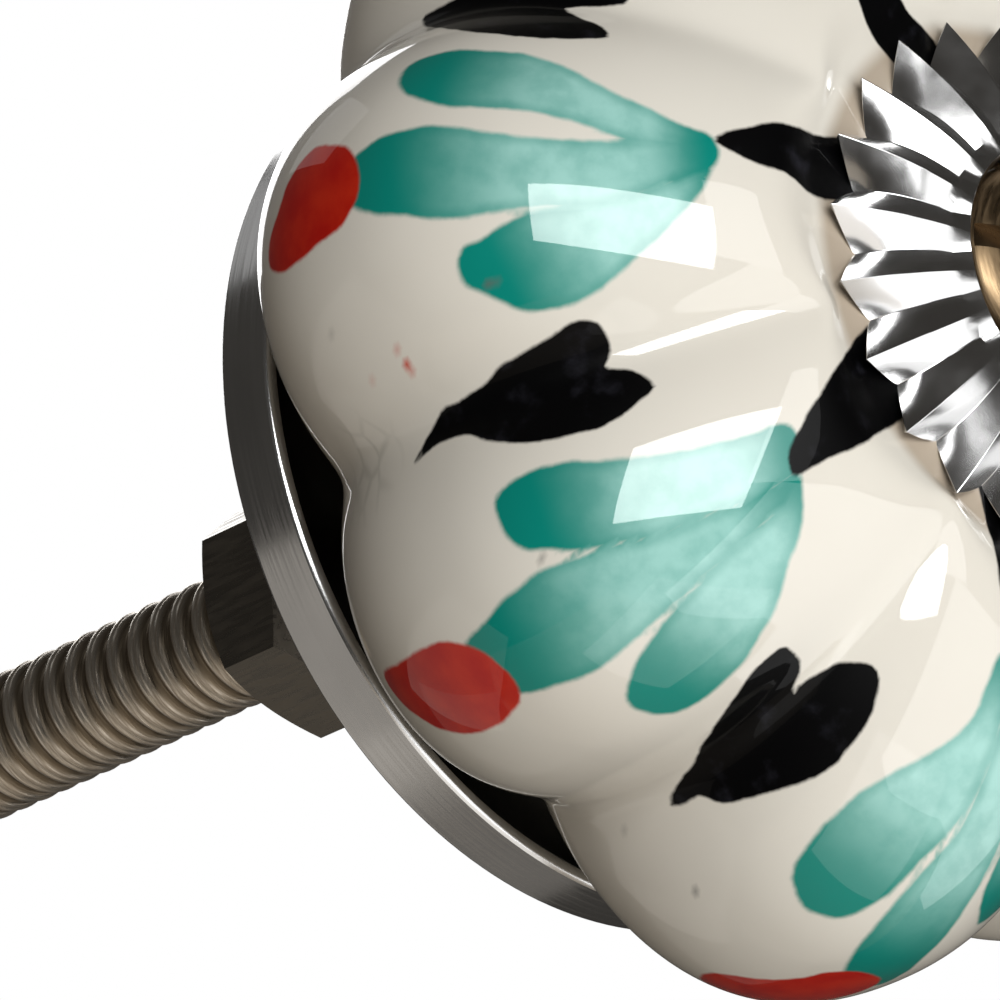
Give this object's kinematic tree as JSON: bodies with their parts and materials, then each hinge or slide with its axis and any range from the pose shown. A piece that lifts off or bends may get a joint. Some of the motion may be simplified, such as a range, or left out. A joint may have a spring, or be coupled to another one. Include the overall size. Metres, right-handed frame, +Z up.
{
  "type": "cabinet knob",
  "caption": "Lobed glazed ceramic cabinet knob with painted flowers, a fluted metal rosette, a back plate, and a bolt with a nut.",
  "frame": {"origin": "centre of the back plate's flat back, where it stands on the cabinet front", "axes": "-Y to the front along the knob's axis, +Y into the cabinet front along the bolt, +Z up"},
  "size_m": [0.0418, 0.0572, 0.042],
  "materials": {
    "glazed_body": "glossy cream glaze with hand painted brush marks",
    "rosette_chrome": "bright pressed plating",
    "bolt_steel": "plated screw steel",
    "plate_chrome": "bright spun plating",
    "nut_steel": "plated nut steel"
  },
  "bodies": {
    "root": {"ceramic_body": "glazed_body", "front_rosette": "rosette_chrome", "bolt": "bolt_steel", "back_plate": "plate_chrome", "hex_nut": "nut_steel"}
  },
  "joints": []
}
